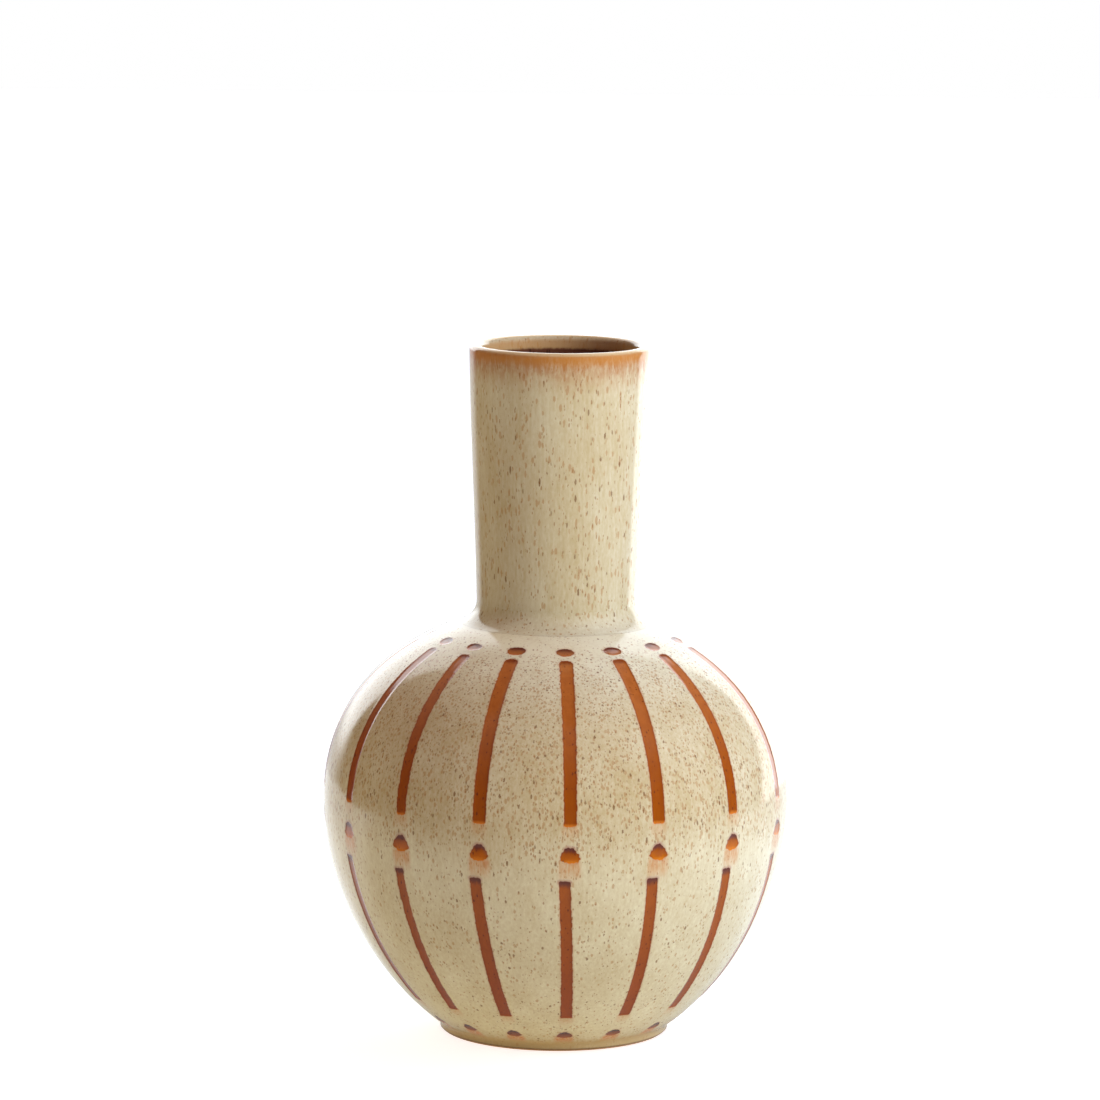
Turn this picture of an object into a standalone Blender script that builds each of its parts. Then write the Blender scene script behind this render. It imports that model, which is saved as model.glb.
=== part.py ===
"""Stoneware bottle vase: a thrown globe, a flared neck luted on its shoulder, a turned foot ring,
and rows of pressed hollows that hold pools of amber glaze.

Metres, +Z up. The origin is the middle of the plane that the foot ring stands on.
Run it with: blender --background --python part.py
"""

import math

import bmesh
import bpy
import numpy as np

# Overall sizes.
HEIGHT = 0.300  # from the foot's underside to the lip
BELLY_RADIUS = 0.1009
WIDEST_HEIGHT = 0.102
SHOULDER_HEIGHT = 0.181  # the flat landing that the neck stands on

# How full the globe is above and below its widest line: 2 is an ellipse, more is squarer.
CROWN_FULLNESS = 2.16
BASE_FULLNESS = 1.87

# Clay walls.
BELLY_WALL = 0.006
NECK_WALL = 0.0052
FLOOR_THICKNESS = 0.007

# Neck, outside radii. It is joined to the shoulder with a bead of slip.
NECK_RADIUS = 0.0351
LIP_RADIUS = 0.0393
NECK_SWELL = 0.5  # 0 is a straight cone, 1 draws the widening into an S
LANDING_MARGIN = 0.0009  # landing outside the neck's wall
BEAD_REACH = 0.007  # beyond the neck, along the shoulder
BEAD_RISE = 0.007  # above the landing, along the neck
BEAD_EDGE = 0.0005  # thickness of the bead's two feathered edges

# Foot.
FOOT_RADIUS = 0.049
FOOT_WIDTH = 0.008
FOOT_HEIGHT = 0.004
FOOT_CHAMFER = 0.0008
BASE_OVERHANG = 0.002  # how far the belly's underside stands out past the foot

# Glaze inlays. Distances run along the belly's outer surface, down a meridian.
ROWS = 16
FIRST_ROW_DEG = 3.5  # azimuth from the front, which faces -Y, turning towards +X
ROW_DRIFT_DEG = (0.0, -0.5, -0.3, -0.2, 0.6, -0.4, 0.8, -0.7, 0.3, 0.9, -0.6, 0.5, 1.3, 2.9, 1.0, 0.4)
STROKE_WIDTH = 0.0054
DROP_WIDTH = 0.0083
DROP_LENGTH = 0.0070
UPPER_STROKE_FROM_LANDING = 0.0255
UPPER_STROKE_ABOVE_WAIST = 0.0060
DROP_BELOW_WAIST = 0.0026
LOWER_STROKE_BELOW_WAIST = 0.0174
LOWER_STROKE_FROM_BASE = 0.0215
LOWER_STROKE_LEAN_DEG = 2.2  # how far the lower strokes turn from top to bottom
POCKET_DEPTH = 0.0014
INLAY_CROWN = 0.0004  # how far a pool of glaze stands proud
CUTTER_CROWN = 0.0032  # the hollows' cutters stand further out, so that they break the surface

# Clearance between pieces that touch, and how finely they are faceted.
GAP = 0.0003
AROUND = 48
CROWN_RINGS = 8
BASE_RINGS = 8
INSIDE_RINGS = 9
NECK_RINGS = 6
LIP_FACETS = 6
BEAD_FACETS = 4
INLAY_SIDES = 8
INLAY_RINGS = 6
ARC_SAMPLES = 600
BISECT_STEPS = 60
SLOPE_STEP = 1e-6
SCREW_MERGE = 1e-5

# Worked out from the sizes above.
UNDERSIDE = FOOT_HEIGHT + GAP
FLOOR_TOP = UNDERSIDE + FLOOR_THICKNESS
BASE_RADIUS = FOOT_RADIUS + BASE_OVERHANG
LANDING_RADIUS = NECK_RADIUS + LANDING_MARGIN
MOUTH_RADIUS = NECK_RADIUS - NECK_WALL
NECK_BOTTOM = SHOULDER_HEIGHT + GAP

COLORS = {
    "cream_glaze": ((0.60, 0.50, 0.33), 0.22),
    "amber_glaze": ((0.30, 0.09, 0.02), 0.18),
    "clear_bead": ((0.62, 0.53, 0.36), 0.20),
    "bare_clay": ((0.42, 0.30, 0.20), 0.75),
}


def superellipse_span(end_radius, rise, fullness):
    """Height at which a curve that passes end_radius at rise would close over the axis."""
    return rise / (1 - (end_radius / BELLY_RADIUS) ** fullness) ** (1 / fullness)


CROWN_SPAN = superellipse_span(LANDING_RADIUS, SHOULDER_HEIGHT - WIDEST_HEIGHT, CROWN_FULLNESS)
BASE_SPAN = superellipse_span(BASE_RADIUS, WIDEST_HEIGHT - UNDERSIDE, BASE_FULLNESS)


def belly_radius(height):
    """Outside radius of the globe at a height."""
    above = height >= WIDEST_HEIGHT
    span, fullness = (CROWN_SPAN, CROWN_FULLNESS) if above else (BASE_SPAN, BASE_FULLNESS)
    share = min(abs(height - WIDEST_HEIGHT) / span, 1.0)
    return BELLY_RADIUS * (1 - share**fullness) ** (1 / fullness)


def belly_normal(height):
    """Outward unit normal of the globe at a height, as (radial, up)."""
    slope = (belly_radius(height + SLOPE_STEP) - belly_radius(height - SLOPE_STEP)) / (2 * SLOPE_STEP)
    length = math.hypot(1, slope)
    return 1 / length, -slope / length


def offset_point(height, distance):
    """The point that far outside the globe's surface, as (radius, height)."""
    radial, up = belly_normal(height)
    return belly_radius(height) + distance * radial, height + distance * up


def bisect(function, low, high):
    """Where the function crosses zero between low and high."""
    falling = function(low) > function(high)
    for _ in range(BISECT_STEPS):
        middle = (low + high) / 2
        if (function(middle) > 0) == falling:
            low = middle
        else:
            high = middle
    return (low + high) / 2


def rounded_heights(end_height, span, count):
    """Heights from the widest line to end_height, closer together where the globe turns over."""
    last = math.asin(min(abs(end_height - WIDEST_HEIGHT) / span, 1.0))
    sign = math.copysign(1, end_height - WIDEST_HEIGHT)
    return [WIDEST_HEIGHT + sign * span * math.sin(last * i / count) for i in range(count + 1)]


def arc_table():
    """Heights from the underside to the landing, with the distance along the surface to each."""
    heights = np.linspace(UNDERSIDE, SHOULDER_HEIGHT, ARC_SAMPLES)
    radii = np.array([belly_radius(height) for height in heights])
    steps = np.hypot(np.diff(heights), np.diff(radii))
    return heights, np.concatenate([[0.0], np.cumsum(steps)])


ARC_HEIGHTS, ARC_LENGTHS = arc_table()


def height_at(arc):
    return float(np.interp(arc, ARC_LENGTHS, ARC_HEIGHTS))


def arc_at(height):
    return float(np.interp(height, ARC_HEIGHTS, ARC_LENGTHS))


def clear_scene():
    for obj in list(bpy.data.objects):
        bpy.data.objects.remove(obj, do_unlink=True)


def new_collection(name, hidden=False):
    collection = bpy.data.collections.new(name)
    collection.hide_render = hidden
    bpy.context.scene.collection.children.link(collection)
    return collection


def material(name):
    color, roughness = COLORS[name]
    made = bpy.data.materials.get(name) or bpy.data.materials.new(name)
    made.use_nodes = True
    shader = made.node_tree.nodes["Principled BSDF"]
    shader.inputs["Base Color"].default_value = (*color, 1.0)
    shader.inputs["Roughness"].default_value = roughness
    shader.inputs["Metallic"].default_value = 0.0
    return made


def turned(name, outline, material_name, collection, closed):
    """A body of revolution. The outline is (radius, height) pairs that run down its outer side."""
    mesh = bpy.data.meshes.new(name)
    points = [(radius, 0.0, height) for radius, height in outline]
    edges = [(i, i + 1) for i in range(len(points) - 1)]
    if closed:
        edges.append((len(points) - 1, 0))
    mesh.from_pydata(points, edges, [])
    mesh.materials.append(material(material_name))
    obj = bpy.data.objects.new(name, mesh)
    collection.objects.link(obj)
    screw = obj.modifiers.new("turn", "SCREW")
    screw.axis = "Z"
    screw.angle = math.tau
    screw.steps = AROUND
    screw.render_steps = AROUND
    screw.use_merge_vertices = True
    screw.merge_threshold = SCREW_MERGE
    screw.use_smooth_shade = True
    return obj


def belly_outline():
    inner_bottom = bisect(
        lambda height: offset_point(height, -BELLY_WALL)[1] - FLOOR_TOP, UNDERSIDE, WIDEST_HEIGHT
    )
    inner_top = bisect(
        lambda height: offset_point(height, -BELLY_WALL)[0] - MOUTH_RADIUS,
        WIDEST_HEIGHT,
        WIDEST_HEIGHT + CROWN_SPAN - 2 * SLOPE_STEP,
    )
    below = rounded_heights(inner_bottom, BASE_SPAN, INSIDE_RINGS)[::-1]
    above = rounded_heights(inner_top, CROWN_SPAN, INSIDE_RINGS)
    inside = [offset_point(height, -BELLY_WALL) for height in below + above[1:]]
    outer = rounded_heights(SHOULDER_HEIGHT, CROWN_SPAN, CROWN_RINGS)[::-1]
    outer += rounded_heights(UNDERSIDE, BASE_SPAN, BASE_RINGS)[1:]
    outside = [(belly_radius(height), height) for height in outer]
    floor = [(0.0, FLOOR_TOP)]
    mouth = [(MOUTH_RADIUS, SHOULDER_HEIGHT)]
    underside = [(0.0, UNDERSIDE)]
    return floor + inside + mouth + outside + underside


def neck_radius(height):
    """Outside radius of the neck, between its foot on the landing and the lip."""
    share = (height - NECK_BOTTOM) / (HEIGHT - NECK_BOTTOM)
    eased = share * share * (3 - 2 * share)
    return NECK_RADIUS + (LIP_RADIUS - NECK_RADIUS) * (share + NECK_SWELL * (eased - share))


def neck_outline():
    """A tube with a full round lip, and half as many rings inside as outside."""
    lip_round = NECK_WALL / 2
    lip_height = HEIGHT - lip_round
    fall = (lip_height - NECK_BOTTOM) / NECK_RINGS
    heights = [lip_height - fall * i for i in range(NECK_RINGS + 1)]
    outside = [(neck_radius(height), height) for height in heights]
    inside = [(radius - NECK_WALL, height) for radius, height in outside[::-2]]
    lip_middle = neck_radius(lip_height) - lip_round
    lip = []
    for i in range(1, LIP_FACETS):
        angle = math.pi * (1 - i / LIP_FACETS)
        lip.append((lip_middle + lip_round * math.cos(angle), lip_height + lip_round * math.sin(angle)))
    return lip + outside + inside


def bead_outline():
    """The slip bead: it follows the neck and the shoulder, and its face between them is hollow."""
    outer_radius = NECK_RADIUS + BEAD_REACH
    outer_height = bisect(
        lambda height: belly_radius(height) - outer_radius, WIDEST_HEIGHT, SHOULDER_HEIGHT
    )
    seat_heights = (outer_height, (SHOULDER_HEIGHT + outer_height) / 2)
    on_shoulder = [offset_point(height, GAP) for height in seat_heights]
    on_landing = [(LANDING_RADIUS, NECK_BOTTOM), (neck_radius(NECK_BOTTOM) + GAP, NECK_BOTTOM)]
    top = NECK_BOTTOM + BEAD_RISE
    on_neck = [(neck_radius(top) + GAP, top)]
    low_radius, low_height = on_shoulder[0][0], on_shoulder[0][1] + BEAD_EDGE
    high_radius = on_neck[0][0] + BEAD_EDGE
    face = []
    for i in range(BEAD_FACETS + 1):
        angle = math.pi / 2 * (1 - i / BEAD_FACETS)
        radius = low_radius + (high_radius - low_radius) * math.sin(angle)
        height = top + (low_height - top) * math.cos(angle)
        face.append((radius, height))
    return face + on_shoulder + on_landing + on_neck


def foot_outline():
    inner = FOOT_RADIUS - FOOT_WIDTH
    return [
        (inner, FOOT_HEIGHT),
        (FOOT_RADIUS, FOOT_HEIGHT),
        (FOOT_RADIUS, FOOT_CHAMFER),
        (FOOT_RADIUS - FOOT_CHAMFER, 0.0),
        (inner + FOOT_CHAMFER, 0.0),
        (inner, FOOT_CHAMFER),
    ]


def row_azimuths():
    spacing = 360 / ROWS
    return [math.radians(FIRST_ROW_DEG + spacing * i + ROW_DRIFT_DEG[i]) for i in range(ROWS)]


def glaze_pool(name, azimuth, lean, top_arc, bottom_arc, width, proud, depth, grow, material_name):
    """A pool of glaze with a rounded outline, bent onto the globe. grow makes it larger all round."""
    mesh = bpy.data.meshes.new(name)
    shape = bmesh.new()
    bmesh.ops.create_uvsphere(shape, u_segments=INLAY_SIDES, v_segments=INLAY_RINGS, radius=1.0)
    half_length = (top_arc - bottom_arc) / 2 + grow
    half_width = width / 2 + grow
    for vertex in shape.verts:
        across, out, along = vertex.co
        ring = math.hypot(across, out)
        fuller = 1 / math.sqrt(ring) if ring > 1e-6 else 0.0
        height = height_at((top_arc + bottom_arc) / 2 + along * half_length)
        lift = out * fuller * (proud if out > 0 else depth + grow)
        radius, lifted_height = offset_point(height, lift)
        turn = azimuth - along * lean / 2 + across * fuller * half_width / belly_radius(height)
        vertex.co = (radius * math.sin(turn), -radius * math.cos(turn), lifted_height)
    shape.normal_update()
    bmesh.ops.recalc_face_normals(shape, faces=shape.faces)
    shape.to_mesh(mesh)
    shape.free()
    mesh.materials.append(material(material_name))
    mesh.shade_smooth()
    return bpy.data.objects.new(name, mesh)


def inlay_kinds():
    """Each kind of pool: its name, upper end, lower end, width and lean."""
    waist = arc_at(WIDEST_HEIGHT)
    landing = arc_at(SHOULDER_HEIGHT)
    drop_top = waist - DROP_BELOW_WAIST
    upper = (landing - UPPER_STROKE_FROM_LANDING, waist + UPPER_STROKE_ABOVE_WAIST)
    drop = (drop_top, drop_top - DROP_LENGTH)
    lower = (waist - LOWER_STROKE_BELOW_WAIST, LOWER_STROKE_FROM_BASE)
    return (
        ("upper_stroke", *upper, STROKE_WIDTH, 0.0),
        ("waist_drop", *drop, DROP_WIDTH, 0.0),
        ("lower_stroke", *lower, STROKE_WIDTH, math.radians(LOWER_STROKE_LEAN_DEG)),
    )


def add_inlays(parts, cutters):
    """The pools in their own nodes, and one larger cutter for each hollow."""
    for kind, top, bottom, width, lean in inlay_kinds():
        for row, azimuth in enumerate(row_azimuths(), start=1):
            place = (azimuth, lean, top, bottom, width)
            name = f"{kind}_{row:02d}"
            pool = glaze_pool(name, *place, INLAY_CROWN, POCKET_DEPTH, 0.0, "amber_glaze")
            parts.objects.link(pool)
            cutter = glaze_pool(
                f"pocket_{name}", *place, CUTTER_CROWN, POCKET_DEPTH, GAP, "bare_clay"
            )
            cutter.hide_render = True
            cutter.display_type = "WIRE"
            cutters.objects.link(cutter)


def cut_pockets(belly, cutters):
    cut = belly.modifiers.new("pressed hollows", "BOOLEAN")
    cut.operation = "DIFFERENCE"
    cut.solver = "EXACT"
    cut.operand_type = "COLLECTION"
    cut.collection = cutters


def main():
    clear_scene()
    parts = new_collection("stoneware_pottery_vase")
    cutters = new_collection("pottery_vase_cutters", hidden=True)
    belly = turned("belly", belly_outline(), "cream_glaze", parts, closed=False)
    turned("neck", neck_outline(), "cream_glaze", parts, closed=True)
    turned("luting_bead", bead_outline(), "clear_bead", parts, closed=True)
    turned("foot_ring", foot_outline(), "bare_clay", parts, closed=True)
    add_inlays(parts, cutters)
    cut_pockets(belly, cutters)


main()
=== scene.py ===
"""Glazed surfaces, marks, studio and camera for the stoneware pottery vase, built round its CAD frame."""

import math

import bpy
import numpy as np
from mathutils import Matrix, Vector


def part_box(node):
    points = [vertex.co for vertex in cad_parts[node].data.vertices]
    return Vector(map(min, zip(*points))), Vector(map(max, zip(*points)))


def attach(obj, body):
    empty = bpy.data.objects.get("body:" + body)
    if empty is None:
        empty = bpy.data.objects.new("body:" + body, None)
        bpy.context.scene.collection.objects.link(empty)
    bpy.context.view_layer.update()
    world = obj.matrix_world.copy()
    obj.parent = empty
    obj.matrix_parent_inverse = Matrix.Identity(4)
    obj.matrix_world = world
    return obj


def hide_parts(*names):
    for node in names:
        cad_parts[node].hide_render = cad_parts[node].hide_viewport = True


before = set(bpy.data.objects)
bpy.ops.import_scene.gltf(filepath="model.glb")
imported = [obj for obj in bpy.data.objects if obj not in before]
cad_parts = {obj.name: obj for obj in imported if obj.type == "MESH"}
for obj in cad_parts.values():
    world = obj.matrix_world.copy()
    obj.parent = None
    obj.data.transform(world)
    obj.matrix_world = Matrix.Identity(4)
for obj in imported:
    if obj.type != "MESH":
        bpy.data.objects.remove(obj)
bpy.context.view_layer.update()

MM = 0.001
ROWS = sum(name.startswith("waist_drop_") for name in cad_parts)

# ---- the turned shape, from the frame's boxes, in metres ----
GLOBE_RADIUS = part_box("belly")[1].x
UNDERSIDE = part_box("belly")[0].z
LANDING_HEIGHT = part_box("belly")[1].z
LIP_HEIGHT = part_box("neck")[1].z
LIP_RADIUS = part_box("neck")[1].x
NECK_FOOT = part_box("neck")[0].z
BEAD_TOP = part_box("luting_bead")[1].z
BEAD_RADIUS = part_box("luting_bead")[1].x
FOOT_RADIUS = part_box("foot_ring")[1].x
FOOT_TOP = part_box("foot_ring")[1].z

# the globe is a superellipse above and below its widest height
WIDEST_HEIGHT = 0.102
CROWN_FULLNESS = 2.16
BASE_FULLNESS = 1.87
LANDING_RADIUS = 0.036
BASE_RADIUS = 0.051
GLOBE_WALL = 0.006
FLOOR_TOP = 0.0113
NECK_RADIUS = 0.0351
NECK_SWELL = 0.5
NECK_WALL = 0.0052
FOOT_WIDTH = 0.008
COLLAR_WALL = 0.0006  # the glaze that runs down over the foot ring's outside
COLLAR_FOOT = 0.0007

# ---- mesh fineness ----
GLOBE_SIDES = 576
NECK_SIDES = 288
RING_STEP = 1.1 * MM
INSIDE_RINGS = 26
PATCH_STEP = 0.42 * MM
PATCH_MARGIN = 2.0 * MM
PATCH_LIFT = 0.02 * MM
PATCH_BOTTOM = 0.9 * MM
SUNK_DEPTH = 1.4 * MM
SUNK_MARGIN = 1.65 * MM
SPLIT_BELOW_STROKE = 4.0 * MM

# ---- the marks, in millimetres ----
STROKE_WIDTH = 5.5
LOWER_STROKE_WIDTH = 5.2
DROP_WIDTH = 9.0
SHOULDER_DOT = (7.9, 5.7)  # width and length
SHOULDER_DOT_RISE = 3.0  # from the upper stroke's end up to the dot
FOOT_DOT = (7.2, 5.4)
FOOT_DOT_ARC = 5.0  # from the foot up to the dot
FOOT_DOT_FOLLOWS = 0.6  # how much of the lower stroke's lean the foot dot takes
POOL_DEPTH = 0.2
POOL_RIM = 0.07  # how far the cream glaze stands up round a pool
LOWER_LEAN_DEG = 2.2

# ---- how much the glaze pattern is squeezed downwards, which draws the specks out ----
GLOBE_STRETCH = 0.5
NECK_STRETCH = 0.36

# ---- small shapes, in metres ----
THROWING_SIZE = 0.045 * MM
NECK_THROWING = 0.8  # as a share of the globe's
SKIN_GAP = 0.1 * MM
COLLAR_EDGE = 0.3 * MM
COLLAR_SWEEP = 2.6
AXIS_RADIUS = 1e-7  # a ring smaller than this is one point on the axis
FOOT_EDGE = 0.9 * MM
FOOT_GROOVE = 0.12 * MM
FOOT_GROOVES = (0.33, 0.63)  # as shares of the foot ring's flat
FOOT_STEPS = (0.3, 0.33, 0.36, 0.6, 0.63, 0.66)


def superellipse_span(end_radius, rise, fullness):
    share = (end_radius / GLOBE_RADIUS) ** fullness
    return rise / (1 - share) ** (1 / fullness)


CROWN_SPAN = superellipse_span(LANDING_RADIUS, LANDING_HEIGHT - WIDEST_HEIGHT, CROWN_FULLNESS)
BASE_SPAN = superellipse_span(BASE_RADIUS, WIDEST_HEIGHT - UNDERSIDE, BASE_FULLNESS)


def globe_radius(height):
    height = np.asarray(height, float)
    crown = height > WIDEST_HEIGHT
    share = np.abs(height - WIDEST_HEIGHT) / np.where(crown, CROWN_SPAN, BASE_SPAN)
    fullness = np.where(crown, CROWN_FULLNESS, BASE_FULLNESS)
    return GLOBE_RADIUS * np.maximum(1 - share**fullness, 0) ** (1 / fullness)


def profile_table():
    """Arc length up the globe's outside, with the height, radius and outward normal there."""
    heights = np.linspace(UNDERSIDE - RING_STEP, WIDEST_HEIGHT + CROWN_SPAN * 0.9999, 8000)
    radii = globe_radius(heights)
    steps = np.hypot(np.diff(heights), np.diff(radii))
    arcs = np.concatenate([[0], np.cumsum(steps)])
    arcs -= np.interp(UNDERSIDE, heights, arcs)
    along_r = np.gradient(radii, arcs)
    along_z = np.gradient(heights, arcs)
    length = np.hypot(along_r, along_z)
    return arcs, heights, radii, along_z / length, -along_r / length


ARCS, HEIGHTS, RADII, OUT_R, OUT_Z = profile_table()


def arc_at(height):
    return np.interp(height, HEIGHTS, ARCS)


def radius_at(arc):
    return np.interp(arc, ARCS, RADII)


def smooth(low, high, x):
    """0 below low, 1 above high, with a soft step between them."""
    t = np.clip((x - low) / (high - low), 0, 1)
    return t * t * (3 - 2 * t)


def throwing(points):
    """The slow unevenness that turning leaves, as metres off the true surface."""
    x, y, z = (points / MM)[..., 0], (points / MM)[..., 1], (points / MM)[..., 2]
    wave = 0.5 * np.sin(x / 11 + z / 17 + 0.6) * np.sin(y / 13 - z / 21 + 1.9)
    wave += 0.3 * np.sin(z / 4.1 + x / 37 + 0.8 * np.sin(y / 29))
    wave += 0.25 * np.sin(x / 6.3 - y / 8.1) * np.sin(z / 7.7 + y / 9.4)
    return THROWING_SIZE * wave


def on_globe(azimuth, arc, out=0.0):
    """Points on the globe. Azimuth 0 is the front and grows towards +X, and out is metres off the glaze."""
    azimuth, arc = np.broadcast_arrays(azimuth, arc)
    radius, height = radius_at(arc), np.interp(arc, ARCS, HEIGHTS)
    place = np.stack([radius * np.sin(azimuth), -radius * np.cos(azimuth), height], -1)
    out = out + throwing(place)
    radius = radius + out * np.interp(arc, ARCS, OUT_R)
    height = height + out * np.interp(arc, ARCS, OUT_Z)
    return np.stack([radius * np.sin(azimuth), -radius * np.cos(azimuth), height], -1)


def neck_radius(height):
    share = (height - NECK_FOOT) / (LIP_HEIGHT - NECK_FOOT)
    eased = share * share * (3 - 2 * share)
    return NECK_RADIUS + (LIP_RADIUS - NECK_RADIUS) * (share + NECK_SWELL * (eased - share))


# ---- where the marks lie, read from the frame's own inlays ----


def node_span(name):
    """Azimuth, lower arc and upper arc of an inlay of the frame."""
    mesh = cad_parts[name].data
    co = np.empty(len(mesh.vertices) * 3)
    mesh.vertices.foreach_get("co", co)
    co = co.reshape(-1, 3)
    radius = np.hypot(co[:, 0], co[:, 1])
    nearest = np.argmin(np.hypot(radius[:, None] - RADII, co[:, 2:] - HEIGHTS), axis=1)
    arcs = ARCS[nearest]
    middle = co.mean(axis=0)
    return math.atan2(middle[0], -middle[1]), arcs.min(), arcs.max()


class Mark:
    """One pool of amber glaze: its row's azimuth, the arcs of its ends and its outline in millimetres."""

    def __init__(self, kind, row, azimuth, low, high, width, lean=0.0):
        self.azimuth, self.lean = azimuth, lean
        self.middle, self.length, self.width = (low + high) / 2, (high - low) / MM, width
        self.rng = np.random.default_rng([row, len(kind)])
        self.outline = OUTLINES[kind](self)

    def place(self, u, v):
        """Azimuth and arc of a point u mm to the right and v mm up from the mark's middle."""
        arc = self.middle + v * MM
        turn = -self.lean * v / self.length
        return self.azimuth + turn + u * MM / radius_at(arc), arc

    def local(self, azimuth, arc):
        v = (arc - self.middle) / MM
        turn = (azimuth - self.azimuth + math.pi) % (2 * math.pi) - math.pi
        return (turn + self.lean * v / self.length) * radius_at(arc) / MM, v


def wobbled(points, rng, size, step=0.5):
    """The closed outline resampled every step mm and pushed in and out by size mm, as a brush leaves it."""
    closed = np.vstack([points, points[:1]])
    run = np.concatenate([[0], np.cumsum(np.hypot(*np.diff(closed, axis=0).T))])
    count = max(24, int(run[-1] / step))
    at = np.linspace(0, run[-1], count, endpoint=False)
    even = np.stack([np.interp(at, run, closed[:, i]) for i in (0, 1)], -1)
    tangent = np.roll(even, -1, 0) - np.roll(even, 1, 0)
    tangent /= np.linalg.norm(tangent, axis=1, keepdims=True)
    push = np.zeros(count)
    for wavelength in (1.9, 3.3, 6.1, 13.0):
        turns = max(1, round(run[-1] / wavelength))
        push += np.sin(2 * math.pi * (turns * at / run[-1] + rng.random())) * rng.random()
    return even + np.stack([tangent[:, 1], -tangent[:, 0]], -1) * (push * size)[:, None]


def bar_outline(half_width, half_length, top_round, bottom_round, flare=0.0):
    """A bar with rounded corners, wider by flare at its top."""
    corners = [
        (1, 1, top_round, 0), (-1, 1, top_round, 90),
        (-1, -1, bottom_round, 180), (1, -1, bottom_round, 270),
    ]
    points = []
    for side, end, bend, start in corners:
        reach = half_width + (flare if end > 0 else 0)
        for angle in np.radians(np.linspace(start, start + 90, 7)):
            u = side * (reach - bend) + bend * math.cos(angle)
            v = end * (half_length - bend) + bend * math.sin(angle)
            points.append((u, v))
    return np.array(points)


def upper_stroke_outline(mark):
    half = mark.width / 2 * mark.rng.uniform(0.94, 1.05)
    bar = bar_outline(half, mark.length / 2, 2.2, 1.3, flare=0.25)
    return wobbled(bar, mark.rng, 0.11)


def lower_stroke_outline(mark):
    half = mark.width / 2 * mark.rng.uniform(0.93, 1.04)
    bar = bar_outline(half, mark.length / 2, 0.7, 0.6, flare=-0.1)
    return wobbled(bar, mark.rng, 0.1)


def dome_outline(width, peak, sag, pointed, squared):
    """A dome over a shallow bowl, both as wide as the mark."""
    u = width / 2 * np.cos(np.linspace(0, math.pi, 25))
    share = np.abs(u) / (width / 2)
    over = peak * (1 - share**pointed)
    under = -sag * (1 - share**squared)
    return np.vstack([np.stack([u, over], -1), np.stack([u, under], -1)[-2:0:-1]])


def waist_drop_outline(mark):
    width = mark.width * mark.rng.uniform(0.93, 1.04)
    peak = mark.length * 0.72
    dome = dome_outline(width, peak, mark.length - peak, mark.rng.uniform(2.3, 3.0), 3.2)
    dome[:, 0] += 0.35 * mark.rng.uniform(-1, 1) * dome[:, 1] / peak
    dome[:, 1] -= peak - mark.length / 2
    return wobbled(dome, mark.rng, 0.2)


def shoulder_dot_outline(mark):
    turn = np.linspace(0, 2 * math.pi, 40, endpoint=False)
    oval = np.stack([mark.width / 2 * np.cos(turn), mark.length / 2 * np.sin(turn)], -1)
    return wobbled(oval * mark.rng.uniform(0.93, 1.05), mark.rng, 0.12)


def foot_dot_outline(mark):
    peak = mark.length * 0.68
    dome = dome_outline(mark.width * mark.rng.uniform(0.92, 1.08), peak, mark.length - peak, 2.2, 2.6)
    dome[:, 1] -= peak - mark.length / 2
    return wobbled(dome, mark.rng, 0.14)


OUTLINES = {
    "upper_strokes": upper_stroke_outline,
    "waist_drops": waist_drop_outline,
    "lower_strokes": lower_stroke_outline,
    "shoulder_dots": shoulder_dot_outline,
    "foot_dots": foot_dot_outline,
}


def make_marks():
    """Every mark by kind. The dots at the shoulder and the foot follow the rows of the frame's inlays."""
    marks = {kind: [] for kind in OUTLINES}
    lean = math.radians(LOWER_LEAN_DEG)
    foot_low = FOOT_DOT_ARC * MM
    foot_high = foot_low + FOOT_DOT[1] * MM
    kinds = ("waist_drop", "upper_stroke", "lower_stroke")
    for row in range(ROWS):
        drop, upper, lower = [node_span(f"{kind}_{row + 1:02d}") for kind in kinds]
        dot_low = upper[2] + SHOULDER_DOT_RISE * MM
        dot_high = dot_low + SHOULDER_DOT[1] * MM
        foot_azimuth = lower[0] + lean * FOOT_DOT_FOLLOWS
        places = {
            "upper_strokes": (*upper, STROKE_WIDTH),
            "waist_drops": (*drop, DROP_WIDTH),
            "lower_strokes": (*lower, LOWER_STROKE_WIDTH, lean),
            "shoulder_dots": (upper[0], dot_low, dot_high, SHOULDER_DOT[0]),
            "foot_dots": (foot_azimuth, foot_low, foot_high, FOOT_DOT[0]),
        }
        for kind, place in places.items():
            marks[kind].append(Mark(kind, row, *place))
    return marks


MARKS = make_marks()


def nearest_local(kind, azimuth, arc):
    """Each point's place in millimetres from the middle of the nearest mark of that kind."""
    best_u, best_v = np.full(azimuth.shape, 1e3), np.full(azimuth.shape, 1e3)
    for mark in MARKS[kind]:
        u, v = mark.local(azimuth, arc)
        closer = np.abs(u) < np.abs(best_u)
        best_u, best_v = np.where(closer, u, best_u), np.where(closer, v, best_v)
    return best_u, best_v


# how the colour runs below each kind of mark: reach in mm, strength, and widening in mm
RUNS = {
    "upper_strokes": (7.0, 0.32, 0.6),
    "waist_drops": (10.0, 0.62, 0.0),
    "lower_strokes": (6.5, 0.35, 0.3),
    "foot_dots": (7.0, 0.85, 0.2),
}


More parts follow.
